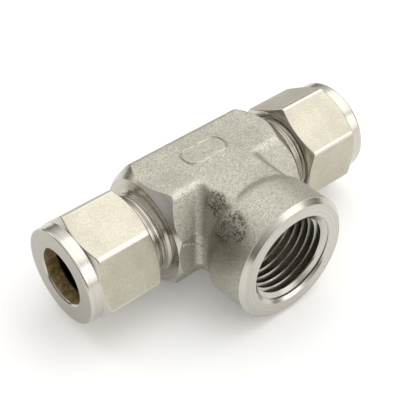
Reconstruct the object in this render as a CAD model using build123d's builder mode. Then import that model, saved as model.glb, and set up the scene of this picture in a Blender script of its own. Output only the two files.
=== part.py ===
"""Twin-ferrule compression fitting: a tee with two tube ends and a threaded branch.

Frame: the run lies on X, the branch opens towards -Y, Z is up, and the origin is where
the two axes cross. Millimetres. Stations along the run are taken outward from the origin.
"""
from build123d import *
from build123d.topology import SkipClean
from math import cos, radians, tan
import os

# ---------------------------------------------------------------- driving dimensions
# tube and flow passage
tube_diameter = 12.7            # 1/2 in tube that the run takes
tube_clearance = 0.08           # radial, tube to body socket and to the ferrules
nut_bore_clearance = 0.11       # radial, tube to nut
flow_bore = 10.4                # smallest passage, run and branch

# forged body
body_flats = 25.4               # top flat to bottom flat
body_trim = 12.2                # axis to the band where the forging flash is trimmed
trim_radius = 0.4               # along that band's edges
forging_corner = 2.0            # radius along the forging's long edges
valley_radius = 1.6             # radius where run and branch meet
shoulder_station = 17.7         # turned shoulder behind each nut
shoulder_step = 0.5             # shoulder face stops this far below the flats
shoulder_angle = 39.0           # chamfer outside the shoulder, from the run axis

# threaded stub, one at each end of the run
neck_length = 1.6               # plain neck between shoulder and thread
neck_step = 0.275               # neck below the thread's crest
neck_fillet = 0.5
stub_thread_length = 10.7
socket_depth = 13.7             # stub end to the shoulder that the tube end rests on
seat_rise = 1.57                # radial height of the ferrule seat
seat_angle = 20.0               # its half angle
stub_lip = 0.775                # wall between the seat's mouth and the thread
thread_pitch = 1.27             # 3/4-20 at the sizes given here
thread_depth = 0.75
thread_land = 0.08              # half width of the flat at the bottom of the groove
stub_chamfer = 0.6

# nuts
nut_gap = 4.0                   # shoulder to the nut's inner end, finger tight
nut_length = 17.5
nut_wall = 1.5125               # outside the thread groove, at the middle of a flat
nut_corner = 1.2                # radius along the hexagon's edges
collar_step = 0.06              # turned collar below the flats
collar_length = 3.0
collar_round = 0.4
hexagon_chamfer = 30.0          # at both ends of the hexagon, from square
back_ring_step = 0.41           # flat ring at the inner end, below the flats
entry_chamfer = 0.4
nut_shoulder_angle = 12.0       # inside shoulder, from square
nut_thread_chamfer = 0.8
nut_clocking = {"left": 136.0, "right": 152.0}   # where a corner of each hexagon stands

# ferrules: radial heights are taken from the tube bore
front_nose_wall = 0.35
front_flange_wall = 1.97
front_flange_length = 1.7
recess_rise = 1.07              # seat in the front ferrule for the back ferrule's nose
recess_angle = 45.0
back_nose_wall = 0.25
back_barrel_wall = 0.92
back_barrel_length = 0.9
back_flange_wall = 1.87
back_flange_length = 1.1
ferrule_chamfer = 0.25

# clearances between pieces that turn or slide on each other
seat_gap = 0.06                 # seats that only close when the nut is pulled up
flank_clearance = 0.05          # thread flanks
crest_clearance = 0.15          # thread crests to the grooves they run in

# branch
branch_face = 28.15             # centre to the branch face
boss_length = 9.25              # straight part of the round boss
boss_step = 1.8                 # boss above the flats
boss_round = 4.6                # radius over which it rises out of them
boss_bevel = 1.05
port_mouth = 18.32              # 1/2-14 taper thread: minor diameter at the branch face
port_taper_angle = 1.79         # half angle of the reamed taper and of the thread
port_thread_length = 13.6
port_depth = 18.5               # to the end of the tap drill
port_pitch = 1.814
port_thread_depth = 1.38
port_land = 0.035               # half width of the flat at the bottom of the groove
port_countersink = 1.64
drill_angle = 59.0              # half angle of the drill point

# ---------------------------------------------------------------- derived values
thread_flank = tan(radians(30))
bore_radius = tube_diameter / 2 + tube_clearance
seat_mouth = bore_radius + seat_rise
groove_radius = seat_mouth + stub_lip
crest_radius = groove_radius + thread_depth
neck_radius = crest_radius - neck_step
thread_start = shoulder_station + neck_length
stub_end = thread_start + stub_thread_length
tube_stop = stub_end - socket_depth
seat_start = stub_end - seat_rise / tan(radians(seat_angle))
shoulder_radius = body_flats / 2 - shoulder_step
trim_height = body_flats - body_trim / tan(radians(30))   # where the band meets the inclined sides

nut_bore = tube_diameter / 2 + nut_bore_clearance
nut_crest = groove_radius + crest_clearance
nut_groove = crest_radius + crest_clearance / 2
nut_apothem = nut_groove + nut_wall
nut_back = shoulder_station + nut_gap
nut_face = nut_back + nut_length

boss_radius = body_flats / 2 + boss_step
boss_start = branch_face - boss_length
boss_root_depth = boss_step + 1.3   # how far below its crest the rounding is carried
port_taper = tan(radians(port_taper_angle))
port_wall = port_mouth / 2 - port_thread_length * port_taper


def lengthwise(sign):
    """Plane through the run's axis for a turned outline: (station, radius)."""
    return Plane(origin=(0, 0, 0), x_dir=(sign, 0, 0), z_dir=(0, 0, sign))


def square_to_run(sign, station):
    """Plane across the run at a station, facing outward."""
    return Plane(origin=(sign * station, 0, 0), x_dir=(0, 1, 0), z_dir=(sign, 0, 0))


def outline(plane, points):
    """Closed flat outline on a plane, ready to be turned about an axis."""
    with BuildSketch(plane) as profile:
        with BuildLine():
            Polyline(*points, close=True)
        make_face()
    return profile.sketch


def thread_groove(axis_dir, start, length, pitch, bottom, land, open_at, taper=0.0):
    """Cutter for a right-hand 60 degree groove. bottom and open_at are radii, and taper is
    the half angle at which the bottom closes in along the axis."""
    axis = Vector(*axis_dir)
    path = Edge.make_helix(pitch, length, bottom, axis * start, axis, -taper).edge()
    foot = path @ 0
    radial = (foot - axis * foot.dot(axis)).normalized()
    reach = open_at - bottom
    half_open = land + abs(reach) * thread_flank
    with BuildPart() as cutter:
        with BuildSketch(Plane(origin=foot, x_dir=radial, z_dir=path % 0)):
            with BuildLine():
                Polyline((0, -land), (reach, -half_open), (reach, half_open), (0, land), close=True)
            make_face()
        sweep(path=path, is_frenet=True)
    return cutter.part


# ---------------------------------------------------------------- tee body
def stub(sign):
    """Neck and threaded stub at one end of the run, still solid inside."""
    # the groove is cut in a longer bar, so that it starts and ends inside the metal
    bar_end = stub_end + 3 * thread_pitch
    groove_start = thread_start - thread_pitch / 2
    cutter = thread_groove((sign, 0, 0), groove_start, stub_end - groove_start + thread_pitch,
                           thread_pitch, groove_radius, thread_land, crest_radius + crest_clearance)
    collar_radius = neck_radius + neck_fillet
    with BuildPart() as end:
        revolve(outline(lengthwise(sign), [(tube_stop, 0), (bar_end, 0), (bar_end, crest_radius),
                                           (tube_stop, crest_radius)]), axis=Axis.X)
        add(cutter, mode=Mode.SUBTRACT)
        # end face and its chamfer
        revolve(outline(lengthwise(sign), [(bar_end + thread_pitch, 0),
                                           (bar_end + thread_pitch, crest_radius + thread_pitch),
                                           (stub_end - stub_chamfer - thread_pitch,
                                            crest_radius + thread_pitch),
                                           (stub_end, crest_radius - stub_chamfer), (stub_end, 0)]),
                axis=Axis.X, mode=Mode.SUBTRACT)
        # neck behind the thread, with a fillet to the shoulder
        revolve(outline(lengthwise(sign), [(tube_stop, neck_radius),
                                           (thread_start - neck_step, neck_radius),
                                           (thread_start + thread_pitch,
                                            neck_radius + neck_step + thread_pitch),
                                           (tube_stop, neck_radius + neck_step + thread_pitch)]),
                axis=Axis.X, mode=Mode.SUBTRACT)
        revolve(outline(lengthwise(sign), [(tube_stop, 0), (shoulder_station + neck_fillet, 0),
                                           (shoulder_station + neck_fillet, neck_radius),
                                           (shoulder_station, collar_radius),
                                           (tube_stop, collar_radius)]), axis=Axis.X)
    return end.part


port_run_in = port_pitch        # the groove starts this far in front of the branch face
port_bottom = port_mouth / 2 + port_thread_depth + port_run_in * port_taper
port_cutter = thread_groove((0, 1, 0), -branch_face - port_run_in, port_thread_length,
                            port_pitch, port_bottom, port_land,
                            port_bottom - port_thread_depth - crest_clearance, port_taper_angle)

with BuildPart() as tee_body:
    # forging: two hexagon-like bars, flats up and down, sides trimmed where the flash was
    for plane, length, both in ((Plane.YZ, shoulder_station, True),
                                (Plane.XZ, boss_start, False)):
        with BuildSketch(plane):
            RegularPolygon(radius=body_flats / 2, side_count=6, major_radius=False)
            Rectangle(2 * body_trim, body_flats, mode=Mode.INTERSECT)
        extrude(amount=length, both=both)
    trim_edges = edges().filter_by(lambda e: abs(abs(e.center().Z) - trim_height) < 0.01)
    fillet([e for e in trim_edges if e not in edges().group_by(Axis.Y)[0]], radius=trim_radius)
    fillet(edges().filter_by(lambda e: abs(abs(e.center().X) - abs(e.center().Y)) < 0.01),
           radius=valley_radius)
    bar_ends = edges().group_by(Axis.X)[0] + edges().group_by(Axis.X)[-1] + edges().group_by(Axis.Y)[0]
    flats = edges().group_by(Axis.Z)[0] + edges().group_by(Axis.Z)[-1]
    fillet([e for e in flats if e not in bar_ends], radius=forging_corner)

    # round boss at the branch mouth, rising out of the flats on a round
    boss_root = (boss_round**2 - (boss_round - boss_root_depth)**2)**0.5 - boss_start
    with BuildSketch(Plane.XY):
        with BuildLine():
            Polyline((boss_radius - boss_root_depth, boss_root), (0, boss_root), (0, -branch_face),
                     (boss_radius - boss_bevel, -branch_face), (boss_radius, boss_bevel - branch_face),
                     (boss_radius, -boss_start))
            RadiusArc((boss_radius, -boss_start), (boss_radius - boss_root_depth, boss_root), -boss_round)
        make_face()
    revolve(axis=Axis.Y)

    # turned ends: chamfer outside the shoulder, then neck and stub
    rim = 0.6 * body_flats      # just outside the forging's long edges
    rim_station = shoulder_station - (rim - shoulder_radius) / tan(radians(shoulder_angle))
    for sign in (-1, 1):
        revolve(outline(lengthwise(sign), [(shoulder_station, shoulder_radius), (shoulder_station, rim),
                                           (rim_station, rim)]), axis=Axis.X, mode=Mode.SUBTRACT)
        add(stub(sign))

    # tapped port and flow passage in the branch
    port_floor = port_depth - branch_face
    drill_point = (port_wall - flow_bore / 2) / tan(radians(drill_angle))
    sink_depth = port_countersink / (1 + port_taper)
    revolve(outline(Plane.XY, [(0, 0), (flow_bore / 2, 0), (flow_bore / 2, port_floor + drill_point),
                               (port_wall, port_floor),
                               (port_wall, port_thread_length - branch_face),
                               (port_mouth / 2 - sink_depth * port_taper, sink_depth - branch_face),
                               (port_mouth / 2 + port_countersink - sink_depth * port_taper, -branch_face),
                               (0, -branch_face)]), axis=Axis.Y, mode=Mode.SUBTRACT)
    add(port_cutter, mode=Mode.SUBTRACT)
    # tube sockets, ferrule seats and flow passage, drilled from each end and meeting in the middle
    with SkipClean():
        for sign in (-1, 1):
            revolve(outline(lengthwise(sign), [(0, 0), (stub_end, 0), (stub_end, seat_mouth),
                                               (seat_start, bore_radius), (tube_stop, bore_radius),
                                               (tube_stop, flow_bore / 2), (0, flow_bore / 2)]),
                    axis=Axis.X, mode=Mode.SUBTRACT, clean=False)
tee_body.part.label = "tee_body"

# ---------------------------------------------------------------- ferrules and nuts
# stations of the stack that the nut holds against the stub
flange_front = stub_end + seat_gap
flange_rear = flange_front + front_flange_length
seat_slope = tan(radians(seat_angle))
nose_drop = seat_gap / cos(radians(seat_angle))
recess_slope = tan(radians(recess_angle))
recess_drop = seat_gap / cos(radians(recess_angle))
barrel_end = flange_rear + back_barrel_length
back_flange_rear = barrel_end + back_flange_length
shoulder_slope = tan(radians(nut_shoulder_angle))
nut_shoulder = (back_flange_rear + (bore_radius + back_flange_wall - nut_bore) * shoulder_slope
                + seat_gap / cos(radians(nut_shoulder_angle)))


def front_ferrule(sign):
    """Nose that wedges into the stub's seat, flange, and a recess behind for the back ferrule."""
    nose_tip = seat_start + (front_nose_wall + nose_drop) / seat_slope
    nose_root = seat_mouth + seat_gap * seat_slope - nose_drop
    flange = bore_radius + front_flange_wall
    with BuildPart() as ferrule:
        revolve(outline(lengthwise(sign), [(nose_tip, bore_radius),
                                           (nose_tip, bore_radius + front_nose_wall),
                                           (flange_front, nose_root),
                                           (flange_front, flange - ferrule_chamfer),
                                           (flange_front + ferrule_chamfer, flange),
                                           (flange_rear - ferrule_chamfer, flange),
                                           (flange_rear, flange - ferrule_chamfer),
                                           (flange_rear, bore_radius + recess_rise),
                                           (flange_rear - recess_rise / recess_slope, bore_radius)]),
                axis=Axis.X)
    return ferrule.part


def back_ferrule(sign):
    """Short nose in the front ferrule's recess, barrel, and a flange under the nut's shoulder."""
    nose_tip = flange_rear - (recess_rise - back_nose_wall - recess_drop) / recess_slope
    nose_root = flange_rear - (recess_rise - back_barrel_wall - recess_drop) / recess_slope
    barrel = bore_radius + back_barrel_wall
    flange = bore_radius + back_flange_wall
    with BuildPart() as ferrule:
        revolve(outline(lengthwise(sign), [(nose_tip, bore_radius),
                                           (nose_tip, bore_radius + back_nose_wall),
                                           (nose_root, barrel), (barrel_end, barrel),
                                           (barrel_end, flange - ferrule_chamfer),
                                           (barrel_end + ferrule_chamfer, flange),
                                           (back_flange_rear, flange),
                                           (back_flange_rear + back_flange_wall * shoulder_slope,
                                            bore_radius)]), axis=Axis.X)
    return ferrule.part


def nut(sign, clocking):
    """Hexagon with a turned collar at the tube end, threaded inside, with a shoulder for the ferrules."""
    collar = nut_apothem - collar_step
    back_ring = nut_apothem - back_ring_step
    widest = nut_apothem / cos(radians(30))
    chamfer_slope = tan(radians(hexagon_chamfer))
    turns_back = round((nut_back - thread_start) / thread_pitch)
    cut_from = thread_start + (turns_back - 1) * thread_pitch
    half_open = (thread_pitch / 2 - thread_land - (nut_groove - groove_radius) * thread_flank
                 + flank_clearance / cos(radians(30)))
    cutter = thread_groove((sign, 0, 0), cut_from, stub_end - cut_from + thread_pitch, thread_pitch,
                           nut_groove, half_open, nut_crest - crest_clearance)
    with BuildPart() as body:
        with BuildSketch(square_to_run(sign, nut_back)):
            hexagon = RegularPolygon(radius=nut_apothem, side_count=6, major_radius=False,
                                     rotation=sign * clocking)
            fillet(hexagon.vertices(), radius=nut_corner)
        extrude(amount=nut_length)
        revolve(outline(lengthwise(sign), [(nut_back, 0), (nut_face, 0), (nut_face, collar),
                                           (nut_face - collar_length, collar),
                                           (nut_face - collar_length - (widest - collar) * chamfer_slope,
                                            widest),
                                           (nut_back + (widest - back_ring) * chamfer_slope, widest),
                                           (nut_back, back_ring)]), axis=Axis.X, mode=Mode.INTERSECT)
        fillet(edges().filter_by(GeomType.CIRCLE).filter_by(
            lambda e: abs(e.center().X - sign * nut_face) < 0.01), radius=collar_round)
        revolve(outline(lengthwise(sign), [(nut_back, 0), (nut_face, 0),
                                           (nut_face, nut_bore + entry_chamfer),
                                           (nut_face - entry_chamfer, nut_bore), (nut_shoulder, nut_bore),
                                           (nut_shoulder - (nut_crest - nut_bore) * shoulder_slope,
                                            nut_crest),
                                           (nut_back + nut_thread_chamfer, nut_crest),
                                           (nut_back, nut_crest + nut_thread_chamfer)]),
                axis=Axis.X, mode=Mode.SUBTRACT)
        add(cutter, mode=Mode.SUBTRACT)
    return body.part


pieces = [tee_body.part]
for side, sign in (("left", -1), ("right", 1)):
    for kind, piece in (("front_ferrule", front_ferrule(sign)), ("back_ferrule", back_ferrule(sign)),
                        ("nut", nut(sign, nut_clocking[side]))):
        piece.label = f"{side}_{kind}"
        pieces.append(piece)

os.makedirs("parts", exist_ok=True)
for piece in pieces:
    export_step(piece, f"parts/{piece.label}.step")
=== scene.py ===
import math
import bpy
import numpy as np
from mathutils import Matrix, Vector


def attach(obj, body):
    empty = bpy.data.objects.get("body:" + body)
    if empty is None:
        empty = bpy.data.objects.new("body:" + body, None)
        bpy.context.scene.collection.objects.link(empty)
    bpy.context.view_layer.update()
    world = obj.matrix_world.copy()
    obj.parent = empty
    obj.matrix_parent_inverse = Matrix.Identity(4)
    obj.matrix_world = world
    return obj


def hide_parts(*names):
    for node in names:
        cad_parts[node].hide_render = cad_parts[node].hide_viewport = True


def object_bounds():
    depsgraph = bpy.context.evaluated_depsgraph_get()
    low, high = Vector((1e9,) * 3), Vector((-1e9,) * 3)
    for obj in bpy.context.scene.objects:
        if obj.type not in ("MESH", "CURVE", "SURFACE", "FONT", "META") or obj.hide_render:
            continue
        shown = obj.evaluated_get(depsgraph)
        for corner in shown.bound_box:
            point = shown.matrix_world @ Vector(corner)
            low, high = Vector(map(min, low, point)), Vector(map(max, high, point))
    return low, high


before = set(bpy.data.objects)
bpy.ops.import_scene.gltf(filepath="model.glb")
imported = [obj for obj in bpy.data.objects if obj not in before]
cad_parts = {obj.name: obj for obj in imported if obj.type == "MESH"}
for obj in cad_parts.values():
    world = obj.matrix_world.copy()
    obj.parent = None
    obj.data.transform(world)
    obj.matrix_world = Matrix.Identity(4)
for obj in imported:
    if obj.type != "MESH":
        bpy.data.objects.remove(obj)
cad_low, cad_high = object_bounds()

MM = 0.001

# sizes of the fitting, in millimetres, as the solids have them
PITCH = 1.27
NUT_BACK, NUT_FACE, NUT_SHOULDER = 21.7, 39.2, 34.212
NUT_APOTHEM, NUT_CORNER = 11.1125, 1.2
COLLAR, COLLAR_LENGTH, BACK_RING = 11.0525, 3.0, 10.7025
NUT_BORE, THREAD_CREST, THREAD_ROOT = 6.46, 8.925, 9.6
FORGING_TOP = 12.7
SHOULDER, SHOULDER_RADIUS, SHOULDER_ANGLE = 17.7, 12.2, 39.0
CREST_OF_STUB, SOCKET_FLOOR, BOSS_RADIUS = 9.525, 16.3, 14.5
BRANCH_FACE, BOSS_BEVEL, PORT_FLOOR, PORT_SINK = 28.15, 1.05, 9.65, 10.8


# ------------------------------------------------------------------ shapes
def softened(corners, reach, steps=5):
    """Profile with softened corners. corners is (points, columns, 2); around each corner P the line
    leaves at A = P - t1*a, follows the quadratic curve (1-u)^2 A + 2u(1-u) P + u^2 B, and rejoins at
    B = P + t2*b, where t1 = t2 is reach, cut to 0.45 of the shorter neighbouring side."""
    rows = [corners[0][None]]
    u = np.linspace(0, 1, steps)[:, None, None]
    hold = 0.25        # a row this far from each softened corner keeps the flat sides flat
    for k in range(1, len(corners) - 1):
        before, here, after = corners[k - 1], corners[k], corners[k + 1]
        length_in = np.linalg.norm(here - before, axis=-1, keepdims=True)
        length_out = np.linalg.norm(after - here, axis=-1, keepdims=True)
        t = np.minimum(reach[k], 0.45 * np.minimum(length_in, length_out))
        start = here - t * (here - before) / np.maximum(length_in, 1e-9)
        end = here + t * (after - here) / np.maximum(length_out, 1e-9)
        rows.append((start + (before - start) * np.minimum(hold / length_in, 0.1))[None])
        rows.append((1 - u) ** 2 * start + 2 * u * (1 - u) * here + u ** 2 * end)
        rows.append((end + (after - end) * np.minimum(hold / length_out, 0.1))[None])
    rows.append(corners[-1][None])
    return np.concatenate(rows)


def grid_mesh(name, points, close_rows=False):
    """Mesh from a grid of points (rows, columns, 3) in metres, columns wrapped round."""
    rows, columns = points.shape[:2]
    last = rows if close_rows else rows - 1
    i, j = np.meshgrid(np.arange(last), np.arange(columns), indexing="ij")
    i2, j2 = (i + 1) % rows, (j + 1) % columns
    quads = np.stack([i * columns + j, i * columns + j2, i2 * columns + j2, i2 * columns + j], -1)
    mesh = bpy.data.meshes.new(name)
    mesh.from_pydata(points.reshape(-1, 3).tolist(), [], quads.reshape(-1, 4).tolist())
    mesh.shade_smooth()
    mesh.update()
    piece = bpy.data.objects.new(name, mesh)
    bpy.context.scene.collection.objects.link(piece)
    return piece


def hexagon_radius(turn):
    """Distance from the axis to a hexagon with rounded corners, at angles measured from a corner.
    With d the angle from the middle of a flat: apothem / cos d on the flat, and at the corner the
    far side of a circle of the corner radius whose centre is (apothem - radius) / cos 30 out."""
    d = np.abs((turn % (np.pi / 3)) - np.pi / 6)
    centre = (NUT_APOTHEM - NUT_CORNER) / math.cos(math.pi / 6)
    away = np.pi / 6 - d
    arc = centre * np.cos(away) + np.sqrt(np.maximum(NUT_CORNER ** 2 - (centre * np.sin(away)) ** 2, 0))
    flat = NUT_APOTHEM / np.cos(d)
    starts = math.atan2(NUT_CORNER * 0.5, centre + NUT_CORNER * math.cos(math.pi / 6))
    return np.where(away < starts, arc, flat) - 0.001        # stays inside the solid's box


def nut_piece(name, sign, clocking, phase):
    """Nut turned and milled from bar: for every angle, the section through the axis is a profile
    (station, radius) whose hexagon part follows hexagon_radius and whose two end chamfers are
    30 degree cones; the thread inside is radius = root - (|axial distance| - land) / tan 30,
    kept between crest and root, with the axial distance counted along a helix of one pitch."""
    sector = np.concatenate([np.linspace(0, 2.9, 7)[:-1], np.linspace(2.9, 57.1, 27)[:-1],
                             np.linspace(57.1, 60, 7)[:-1]])
    turn = np.radians((sector[None] + 60 * np.arange(6)[:, None]).ravel())
    slope = math.tan(math.radians(30))
    rim = hexagon_radius(turn)
    one = np.ones_like(turn)
    outer = np.array([
        (NUT_BACK * one, (THREAD_CREST + 0.8) * one),
        (NUT_BACK * one, BACK_RING * one),
        (NUT_BACK + (rim - BACK_RING) * slope, rim),
        (NUT_FACE - COLLAR_LENGTH - (rim - COLLAR) * slope, rim),
        ((NUT_FACE - COLLAR_LENGTH) * one, COLLAR * one),
        (NUT_FACE * one, COLLAR * one),
        (NUT_FACE * one, (NUT_BORE + 0.4) * one),
        ((NUT_FACE - 0.4) * one, NUT_BORE * one),
        (NUT_SHOULDER * one, NUT_BORE * one),
        ((NUT_SHOULDER - 0.52) * one, THREAD_CREST * one)]).transpose(0, 2, 1)
    shell = softened(outer, [0, 0.12, 0.16, 0.16, 0.06, 0.42, 0.12, 0.12, 0.1, 0])
    stations = np.linspace(NUT_SHOULDER - 0.62, NUT_BACK + 0.8, 150)[:, None]
    from_groove = (stations - phase - PITCH * turn / (2 * np.pi) + PITCH / 2) % PITCH - PITCH / 2
    wall = np.clip(THREAD_ROOT - (np.abs(from_groove) - 0.136) / slope, THREAD_CREST, THREAD_ROOT)
    fade = np.clip((31.3 - stations) / 0.4, 0, 1)
    thread = np.stack([stations + 0 * turn, THREAD_CREST + (wall - THREAD_CREST) * fade], -1)
    profile = np.concatenate([shell, thread])
    # angles are counted about the outward axis, from a corner of the hexagon
    angle = math.radians(clocking) + (turn if sign > 0 else -turn)
    points = np.stack([sign * profile[..., 0], profile[..., 1] * np.cos(angle),
                       profile[..., 1] * np.sin(angle)], -1) * MM
    return grid_mesh(name, points, close_rows=True)


def oblong_rim(name, centre, half_length, half_width, corner, height, width):
    """Low forged rim round an oblong field: a bell-shaped ridge carried along a rounded rectangle.
    Across the ridge at offset v from its middle line the height is h * cos^2(pi v / 2)."""
    along = np.linspace(0, 2 * np.pi, 160, endpoint=False)
    # rounded rectangle: a circle of the corner radius pushed out to the four inner corners
    normal = np.stack([np.cos(along), np.sin(along)], -1)
    inner = np.array([half_length - corner, half_width - corner])
    middle = corner * normal + np.tanh(normal * 9) * inner
    across = np.linspace(-1, 1, 11)[:, None]
    flat = middle[None] + across[..., None] * width / 2 * normal[None]
    rise = height * np.cos(np.pi * across / 2) ** 2 - 0.01
    points = np.stack([centre[0] + flat[..., 0], centre[1] + flat[..., 1],
                       FORGING_TOP + rise + 0 * flat[..., 0]], -1) * MM
    return grid_mesh(name, points)


def trimmed_burr(name, stops, radius):
    """Thin wavering burr where forging flash was sheared off: a round thread carried along a line
    through the stops, its radius r * (0.7 + 0.3 sin 9t) and its middle shaken by a few hundredths."""
    stops = np.array(stops)
    knots = np.concatenate([[0], np.cumsum(np.linalg.norm(np.diff(stops, axis=0), axis=1))])
    t = np.linspace(0, knots[-1], 90)
    line = np.stack([np.interp(t, knots, stops[:, k]) for k in range(3)], -1)
    line[1:-1] = (line[:-2] + 2 * line[1:-1] + line[2:]) / 4
    line[:, 2] += 0.05 * np.sin(5.3 * t) + 0.03 * np.sin(11.7 * t)
    ahead = np.gradient(line, axis=0)
    ahead /= np.linalg.norm(ahead, axis=1, keepdims=True)
    side = np.cross(ahead, (0, 0, 1.0))
    side /= np.linalg.norm(side, axis=1, keepdims=True)
    over = np.cross(side, ahead)
    turn = np.linspace(0, 2 * np.pi, 12, endpoint=False)
    thick = radius * (0.7 + 0.3 * np.sin(9 * t)) * np.minimum(1, np.minimum(t, t[-1] - t) / 0.5 + 0.02)
    ring = np.cos(turn)[None, :, None] * side[:, None] + np.sin(turn)[None, :, None] * over[:, None]
    return grid_mesh(name, (line[:, None] + thick[:, None, None] * ring) * MM)


# ------------------------------------------------------------------ materials
def mm(length):
    """Length in millimetres as metres."""
    return length * MM


def linear(code):
    """sRGB hex colour as linear RGBA."""
    parts = [int(code[i:i + 2], 16) / 255 for i in (1, 3, 5)]
    return [c / 12.92 if c <= 0.04045 else ((c + 0.055) / 1.055) ** 2.4 for c in parts] + [1.0]


def add(tree, kind, settings=None, inputs=None):
    """Adds a node. settings are its properties; inputs map a socket's name or number to a value or
    to another node's output."""
    made = tree.nodes.new(kind)
    for key, value in (settings or {}).items():
        setattr(made, key, value)
    for key, value in (inputs or {}).items():
        socket = made.inputs[key]
        if isinstance(value, bpy.types.NodeSocket):
            tree.links.new(value, socket)
        else:
            socket.default_value = value
    return made


def maths(tree, operation, *values):
    """Output of one arithmetic operation on sockets and numbers."""
    return add(tree, "ShaderNodeMath", {"operation": operation}, dict(enumerate(values))).outputs[0]


def ramp(tree, value, low, high, to_low=0.0, to_high=1.0):
    """Value carried smoothly from low..high to to_low..to_high, and held outside."""
    made = add(tree, "ShaderNodeMapRange", {"interpolation_type": "SMOOTHSTEP", "clamp": True},
               {0: value, 1: low, 2: high, 3: to_low, 4: to_high})
    return made.outputs[0]


def past(tree, value, edge_mm, soft_mm=0.1):
    """0 up to an edge and 1 once past its soft width."""
    return ramp(tree, value, mm(edge_mm), mm(edge_mm + soft_mm))


def short_of(tree, value, edge_mm, soft_mm=0.1):
    """1 up to an edge and 0 once past its soft width."""
    return ramp(tree, value, mm(edge_mm), mm(edge_mm + soft_mm), 1.0, 0.0)


def noise(tree, place, size_mm, detail=2.0, roughness=0.55):
    """Noise whose lumps are about size_mm across."""
    made = add(tree, "ShaderNodeTexNoise", {"noise_dimensions": "3D"},
               {"Vector": place, "Scale": 0.5 / mm(size_mm), "Detail": detail, "Roughness": roughness})
    return made.outputs["Fac"]


def blend(tree, share, first, second):
    """Colour that goes from first to second as share goes from 0 to 1."""
    made = add(tree, "ShaderNodeMix", {"data_type": "RGBA"}, {0: share, 6: first, 7: second})
    return made.outputs[2]


def blob(tree, place, centre, reach):
    """1 at a centre, falling to 0 at an ellipsoid of the given half sizes, all in millimetres."""
    moved = add(tree, "ShaderNodeMapping", inputs={
        0: place, 1: [-c / r for c, r in zip(centre, reach)], 3: [1 / (r * MM) for r in reach]})
    distance = add(tree, "ShaderNodeVectorMath", {"operation": "LENGTH"}, {0: moved.outputs[0]})
    return ramp(tree, distance.outputs["Value"], 0.25, 1.0, 1.0, 0.0)


def places(tree):
    """Object coordinates split up: the place itself, Y, |X| and the distances from the two axes."""
    place = add(tree, "ShaderNodeTexCoord").outputs["Object"]
    split = add(tree, "ShaderNodeSeparateXYZ", inputs={0: place})
    x, y, z = split.outputs
    station = maths(tree, "ABSOLUTE", x)
    from_run = maths(tree, "SQRT", maths(tree, "ADD", maths(tree, "MULTIPLY", y, y),
                                         maths(tree, "MULTIPLY", z, z)))
    from_branch = maths(tree, "SQRT", maths(tree, "ADD", maths(tree, "MULTIPLY", x, x),
                                            maths(tree, "MULTIPLY", z, z)))
    return place, y, station, from_run, from_branch


def steel(name):
    """New metal material: its node tree and its shader."""
    material = bpy.data.materials.new(name)
    material.use_nodes = True
    tree = material.node_tree
    shader = tree.nodes["Principled BSDF"]
    shader.inputs["Metallic"].default_value = 1.0
    return material, tree, shader


def turned_rings(tree, along, spread_mm):
    """Fine lathe rings: noise read along one direction only, so that it repeats round the axis."""
    line = add(tree, "ShaderNodeCombineXYZ", inputs={0: along, 1: 0.37, 2: 0.11}).outputs[0]
    return noise(tree, line, spread_mm, detail=3.0, roughness=0.7)


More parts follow.
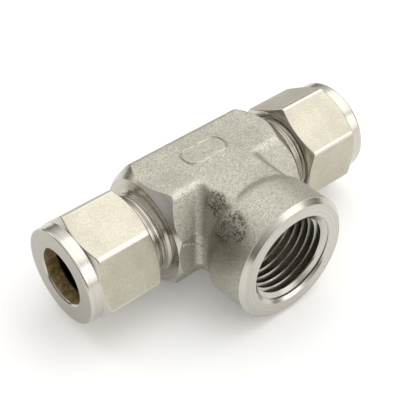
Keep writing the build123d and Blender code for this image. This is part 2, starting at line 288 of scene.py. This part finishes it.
def forged_steel():
    """Stainless steel forging, shot blasted after forging and trimming, then turned at its ends.
    Blasted skin is matt and finely pitted; turned parts are brighter and carry lathe rings."""
    material, tree, shader = steel("blasted_and_turned_stainless")
    place, y, station, from_run, from_branch = places(tree)
    # turned ends of the run: everything outside the shoulder's chamfer cone
    beyond = maths(tree, "SUBTRACT", from_run, mm(SHOULDER_RADIUS))
    cone = maths(tree, "ADD", station,
                 maths(tree, "MULTIPLY", beyond, 1 / math.tan(math.radians(SHOULDER_ANGLE))))
    outside = maths(tree, "MAXIMUM", past(tree, cone, SHOULDER - 0.1, 0.08),
                    past(tree, station, SHOULDER - 0.06, 0.05))
    end = maths(tree, "MULTIPLY", outside, short_of(tree, from_run, BOSS_RADIUS + 0.7))
    inside_run = maths(tree, "MULTIPLY", short_of(tree, from_run, CREST_OF_STUB - 0.125),
                       past(tree, station, SOCKET_FLOOR - 0.3))
    # turned branch mouth: bevel, face, countersink and thread
    wander = maths(tree, "MULTIPLY", maths(tree, "SUBTRACT", noise(tree, place, 1.5), 0.5), mm(0.25))
    mouth = short_of(tree, maths(tree, "ADD", y, wander), BOSS_BEVEL - BRANCH_FACE - 0.06, 0.08)
    inside_branch = maths(tree, "MULTIPLY", short_of(tree, from_branch, PORT_SINK + 0.1),
                          short_of(tree, y, 0.65 - PORT_FLOOR))
    turned = maths(tree, "MAXIMUM", maths(tree, "MAXIMUM", end, inside_run),
                   maths(tree, "MAXIMUM", mouth, inside_branch))

    grain = noise(tree, place, 0.16, detail=3.0, roughness=0.65)
    lumps = noise(tree, place, 0.55, detail=3.0, roughness=0.6)
    drift = noise(tree, place, 6.0, detail=2.0)
    specks = ramp(tree, noise(tree, place, 0.28, detail=1.0), 0.30, 0.24)
    rings_run = turned_rings(tree, maths(tree, "ADD", station, from_run), 0.09)
    rings_branch = turned_rings(tree, maths(tree, "ADD", y, from_branch), 0.09)
    at_branch = maths(tree, "MAXIMUM", mouth, inside_branch)
    rings_run = maths(tree, "MULTIPLY", rings_run, maths(tree, "SUBTRACT", 1.0, at_branch))
    rings = maths(tree, "ADD", rings_run, maths(tree, "MULTIPLY", rings_branch, at_branch))

    skin = blend(tree, ramp(tree, grain, 0.35, 0.66), linear("#ABA99C"), linear("#D8D6CA"))
    skin = blend(tree, ramp(tree, drift, 0.35, 0.65, 0.0, 0.35), skin, linear("#A3A093"))
    skin = blend(tree, maths(tree, "MULTIPLY", specks, 0.55), skin, linear("#5A5448"))
    # painted shade in the corner between branch and boss, on the left side: a broad darkening, and
    # speckled dark patches within it
    speckled_corner_shade = maths(tree, "MAXIMUM", blob(tree, place, (-8.4, -13.2, 10.8), (3.0, 3.6, 4.2)),
                 blob(tree, place, (-10.4, -19.6, 9.8), (4.2, 6.0, 5.6)))
    broad_corner_shade = blob(tree, place, (-12.0, -20.0, 6.0), (7.5, 9.5, 10.0))
    root = blob(tree, place, (0, -16.0, 9.0), (13.0, 5.0, 12.0))
    patch = ramp(tree, maths(tree, "ADD", noise(tree, place, 0.2, detail=2.0, roughness=0.6),
                             maths(tree, "MULTIPLY", noise(tree, place, 1.1), 0.6)), 0.76, 0.90)
    speckled_corner_shade = maths(tree, "MULTIPLY", ramp(tree, speckled_corner_shade, 0.0, 0.5), patch)
    # painted shade laid on the skin: the broad darkening first, then the speckled patches
    skin = blend(tree, maths(tree, "MULTIPLY", broad_corner_shade, 0.58), skin, linear("#675F50"))
    skin = blend(tree, maths(tree, "MULTIPLY", speckled_corner_shade, 0.8), skin, linear("#4A463D"))
    bright = blend(tree, ramp(tree, rings, 0.3, 0.7), linear("#BAB5AB"), linear("#CDC9C1"))
    tree.links.new(blend(tree, turned, skin, bright), shader.inputs["Base Color"])

    blasted_roughness = ramp(tree, lumps, 0.3, 0.7, 0.42, 0.56)
    turned_roughness = ramp(tree, rings, 0.3, 0.7, 0.2, 0.27)
    roughness = add(tree, "ShaderNodeMix", {"data_type": "FLOAT"},
                    {0: turned, 2: blasted_roughness, 3: turned_roughness}).outputs[0]
    tree.links.new(roughness, shader.inputs["Roughness"])

    relief = maths(tree, "ADD", maths(tree, "MULTIPLY", grain, mm(0.045)),
                   maths(tree, "MULTIPLY", lumps, mm(0.07)))
    ring_relief = maths(tree, "MULTIPLY", rings, mm(0.003))
    height = add(tree, "ShaderNodeMix", {"data_type": "FLOAT"}, {0: turned, 2: relief, 3: ring_relief})
    # creases of the skin are soft, most of all where the boss leaves the flats
    reach = ramp(tree, root, 0.0, 0.8, mm(0.25), mm(1.5))
    reach = add(tree, "ShaderNodeMix", {"data_type": "FLOAT"}, {0: turned, 2: reach, 3: mm(0.08)})
    soft_edges = add(tree, "ShaderNodeBevel", {"samples": 8}, {"Radius": reach.outputs[0]})
    bump = add(tree, "ShaderNodeBump", inputs={"Strength": 1.0, "Distance": 1.0,
                                               "Height": height.outputs[0],
                                               "Normal": soft_edges.outputs[0]})
    tree.links.new(bump.outputs[0], shader.inputs["Normal"])
    return material


def bar_steel():
    """Stainless bar stock: drawn flats with a satin skin and a few pits, ends and collar turned."""
    material, tree, shader = steel("satin_bar_stainless")
    place, _, station, from_run, _ = places(tree)
    slope = math.tan(math.radians(30))
    face = past(tree, station, NUT_FACE - COLLAR_LENGTH - 0.02, 0.04)
    back = short_of(tree, station, NUT_BACK + 0.02, 0.04)
    above_collar = maths(tree, "SUBTRACT", from_run, mm(COLLAR))
    above_ring = maths(tree, "SUBTRACT", from_run, mm(BACK_RING))
    cone_front = past(tree, maths(tree, "ADD", station, maths(tree, "MULTIPLY", above_collar, slope)),
                      NUT_FACE - COLLAR_LENGTH - 0.1, 0.06)
    cone_back = short_of(tree, maths(tree, "SUBTRACT", station,
                                     maths(tree, "MULTIPLY", above_ring, slope)),
                         NUT_BACK + 0.04, 0.06)
    inside = short_of(tree, from_run, 10.0)
    turned = maths(tree, "MAXIMUM", maths(tree, "MAXIMUM", face, back),
                   maths(tree, "MAXIMUM", maths(tree, "MAXIMUM", cone_front, cone_back), inside))

    fine = noise(tree, place, 0.12, detail=3.0, roughness=0.65)
    stretched = add(tree, "ShaderNodeMapping", inputs={0: place, 3: (0.6, 1.0, 1.0)}).outputs[0]
    drawn = noise(tree, stretched, 0.14, detail=4.0, roughness=0.7)
    cloudy = noise(tree, place, 3.5, detail=3.0)
    pits = ramp(tree, noise(tree, place, 0.22, detail=1.0), 0.27, 0.22)
    rings = turned_rings(tree, maths(tree, "ADD", station, from_run), 0.09)

    flat = blend(tree, ramp(tree, drawn, 0.35, 0.65), linear("#B5AF9F"), linear("#C9C4B4"))
    flat = blend(tree, ramp(tree, cloudy, 0.35, 0.65, 0.0, 0.3), flat, linear("#A9A292"))
    flat = blend(tree, maths(tree, "MULTIPLY", pits, 0.6), flat, linear("#4E483C"))
    # painted highlight along the bar's rounded corners: lighter colour there, with the roughness a
    # little lower
    corner = past(tree, from_run, 12.48, 0.12)
    flat = blend(tree, maths(tree, "MULTIPLY", corner, 0.8), flat, linear("#DEDAD0"))
    bright = blend(tree, ramp(tree, rings, 0.3, 0.7), linear("#BAB5AA"), linear("#CFCBC3"))
    # painted shade on the nut's outer face: its turned colour is darkened
    painted_face_shade = ramp(tree, station, mm(NUT_FACE - 0.05), mm(NUT_FACE - 0.01), 0.0, 0.55)
    bright = blend(tree, painted_face_shade, bright, linear("#8B877A"))
    colour = blend(tree, turned, flat, bright)
    # dry lubricant left on the bore's wall; further in, painted shade darkens it to near black
    lining = blend(tree, ramp(tree, noise(tree, place, 0.5, detail=4.0, roughness=0.7), 0.35, 0.65),
                   linear("#9A8456"), linear("#D6C297"))
    painted_bore_shade = short_of(tree, station, NUT_FACE - 3.7, 0.5)
    lining = blend(tree, painted_bore_shade, lining, linear("#15120E"))
    in_bore = maths(tree, "MULTIPLY", short_of(tree, from_run, NUT_BORE + 0.05, 0.05),
                    short_of(tree, station, NUT_FACE - 0.6))
    tree.links.new(blend(tree, in_bore, colour, lining), shader.inputs["Base Color"])
    flat_roughness = ramp(tree, maths(tree, "ADD", drawn, maths(tree, "MULTIPLY", cloudy, 0.5)),
                          0.5, 1.0, 0.3, 0.42)
    turned_roughness = ramp(tree, rings, 0.3, 0.7, 0.18, 0.25)
    turned_roughness = maths(tree, "ADD", turned_roughness, maths(tree, "MULTIPLY", in_bore, 0.4))
    roughness = add(tree, "ShaderNodeMix", {"data_type": "FLOAT"},
                    {0: turned, 2: maths(tree, "SUBTRACT", flat_roughness,
                                       maths(tree, "MULTIPLY", corner, 0.12)),
                     3: turned_roughness}).outputs[0]
    tree.links.new(roughness, shader.inputs["Roughness"])
    relief = maths(tree, "ADD", maths(tree, "MULTIPLY", drawn, mm(0.014)),
                   maths(tree, "MULTIPLY", fine, mm(0.012)))
    height = add(tree, "ShaderNodeMix", {"data_type": "FLOAT"},
                 {0: turned, 2: relief, 3: maths(tree, "MULTIPLY", rings, mm(0.003))})
    bump = add(tree, "ShaderNodeBump", inputs={"Strength": 1.0, "Distance": 1.0,
                                               "Height": height.outputs[0]})
    tree.links.new(bump.outputs[0], shader.inputs["Normal"])
    return material


def ferrule_steel():
    """Small turned rings of the same steel, smoother than the nuts, slightly straw coloured."""
    material, tree, shader = steel("turned_ferrule_stainless")
    place, _, station, from_run, _ = places(tree)
    rings = turned_rings(tree, maths(tree, "ADD", station, from_run), 0.08)
    mottle = noise(tree, place, 0.4, detail=3.0)
    colour = blend(tree, ramp(tree, mottle, 0.35, 0.65), linear("#B59A6C"), linear("#D8C8A4"))
    # painted shade: the ferrule's bore is painted dark
    bore = short_of(tree, from_run, NUT_BORE - 0.02, 0.04)
    colour = blend(tree, bore, colour, linear("#2E2A24"))
    tree.links.new(colour, shader.inputs["Base Color"])
    tree.links.new(ramp(tree, rings, 0.3, 0.7, 0.22, 0.36), shader.inputs["Roughness"])
    bump = add(tree, "ShaderNodeBump", inputs={"Strength": 1.0, "Distance": 1.0, "Height": maths(
        tree, "MULTIPLY", rings, 0.01 * MM)})
    tree.links.new(bump.outputs[0], shader.inputs["Normal"])
    return material


def finish_with(piece, material):
    piece.data.materials.clear()
    piece.data.materials.append(material)


# ------------------------------------------------------------------ the fitting
forging, bar, ring = forged_steel(), bar_steel(), ferrule_steel()
finish_with(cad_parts["tee_body"], forging)
for side, sign, clocking in (("left", -1, 136.0), ("right", 1, 152.0)):
    nut = nut_piece(f"{side}_nut_turned", sign, clocking, 19.3 - PITCH / 4)
    finish_with(nut, bar)
    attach(nut, f"{side}_nut")
    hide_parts(f"{side}_nut")
    for kind in ("front_ferrule", "back_ferrule"):
        finish_with(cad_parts[f"{side}_{kind}"], ring)
rim = oblong_rim("oblong_forged_rim", (-0.2, 0.0), 5.4, 2.6, 2.1, 0.34, 0.62)
finish_with(rim, forging)
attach(rim, "tee_body")


burr = trimmed_burr("sheared_flash_burr", [
    (-17.2, -12.2, 3.35), (-15.7, -12.22, 3.15), (-14.7, -12.22, 2.6), (-13.6, -12.24, 2.2),
    (-12.6, -12.6, 1.5), (-12.22, -13.75, 1.1), (-12.22, -14.6, 1.0)], 0.2)
finish_with(burr, bar)
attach(burr, "tee_body")


# ------------------------------------------------------------------ studio
def studio_floor():
    """Plain pale floor under the lowest point of the fitting."""
    half = 3.0
    height = cad_low.z - 0.0001
    mesh = bpy.data.meshes.new("floor")
    mesh.from_pydata([(-half, -half, height), (half, -half, height), (half, half, height),
                      (-half, half, height)], [], [(0, 1, 2, 3)])
    floor = bpy.data.objects.new("floor", mesh)
    bpy.context.scene.collection.objects.link(floor)
    material = bpy.data.materials.new("pale_floor")
    material.use_nodes = True
    shader = material.node_tree.nodes["Principled BSDF"]
    shader.inputs["Base Color"].default_value = linear("#F8F8F7")
    shader.inputs["Roughness"].default_value = 0.9
    shader.inputs["Specular IOR Level"].default_value = 0.1
    shader.inputs["Emission Color"].default_value = linear("#FFFFFF")
    shader.inputs["Emission Strength"].default_value = 0.14
    floor.data.materials.append(material)


def broad_sun(name, direction, spread, power, colour="#FFFFFF"):
    """Very large soft light far away, seen over spread degrees, from (azimuth, elevation)."""
    azimuth, elevation = map(math.radians, direction)
    out = Vector((math.sin(azimuth) * math.cos(elevation), -math.cos(azimuth) * math.cos(elevation),
                  math.sin(elevation)))
    light = bpy.data.lights.new(name, "SUN")
    light.angle, light.energy = math.radians(spread), power
    light.color = linear(colour)[:3]
    lamp = bpy.data.objects.new(name, light)
    lamp.rotation_mode = "QUATERNION"
    lamp.rotation_quaternion = (-out).to_track_quat("-Z", "Y")
    bpy.context.scene.collection.objects.link(lamp)


def studio_sky():
    """Soft tent: white overhead, dim and warm towards the horizon, which the metal mirrors. Seen
    directly it is as pale as the floor."""
    world = bpy.data.worlds.new("tent")
    bpy.context.scene.world = world
    world.use_nodes = True
    tree = world.node_tree
    direction = add(tree, "ShaderNodeTexCoord").outputs["Generated"]
    rightward, _, up = add(tree, "ShaderNodeSeparateXYZ", inputs={0: direction}).outputs
    low = blend(tree, ramp(tree, up, 0.02, 0.35), linear("#4E4841"), linear("#B9B6B0"))
    colour = blend(tree, ramp(tree, up, 0.3, 0.75), low, linear("#FFFFFF"))
    # a dark flag shades the left side
    colour = blend(tree, ramp(tree, rightward, -0.75, 0.1, 0.5, 0.0), colour, linear("#2E2B27"))
    seen = add(tree, "ShaderNodeLightPath").outputs["Is Camera Ray"]
    colour = blend(tree, seen, colour, linear("#F6F6F5"))
    background = tree.nodes["Background"]
    tree.links.new(colour, background.inputs["Color"])
    background.inputs["Strength"].default_value = 1.16


def camera():
    """Long lens from the left, about forty degrees up, turned a little about its own axis."""
    azimuth, elevation, roll = math.radians(-39.48), math.radians(40.90), -0.02525
    back = Vector((math.sin(azimuth) * math.cos(elevation), -math.cos(azimuth) * math.cos(elevation),
                   math.sin(elevation)))
    right = Vector((math.cos(azimuth), math.sin(azimuth), 0))
    up = back.cross(right)
    across = math.cos(roll) * right + math.sin(roll) * up
    upward = -math.sin(roll) * right + math.cos(roll) * up
    target = Vector((-1.627, 0, -0.6675)) * MM
    place = Matrix((across, upward, back)).transposed().to_4x4()
    place.translation = target + back * 218.58 * MM
    lens = bpy.data.cameras.new("camera")
    lens.sensor_width, lens.lens = 36.0, 88.0
    lens.clip_start, lens.clip_end = 0.01, 20
    made = bpy.data.objects.new("camera", lens)
    made.matrix_world = place
    bpy.context.scene.collection.objects.link(made)
    bpy.context.scene.camera = made


studio_floor()
studio_sky()
broad_sun("overhead", (86, 58), 60, 0.58)
broad_sun("left_back", (-165, 30), 24, 0.25, "#FFF6E8")
broad_sun("right_front", (30, 20), 40, 0.55)
camera()
bpy.context.scene.view_settings.view_transform = "Standard"

bpy.context.view_layer.update()
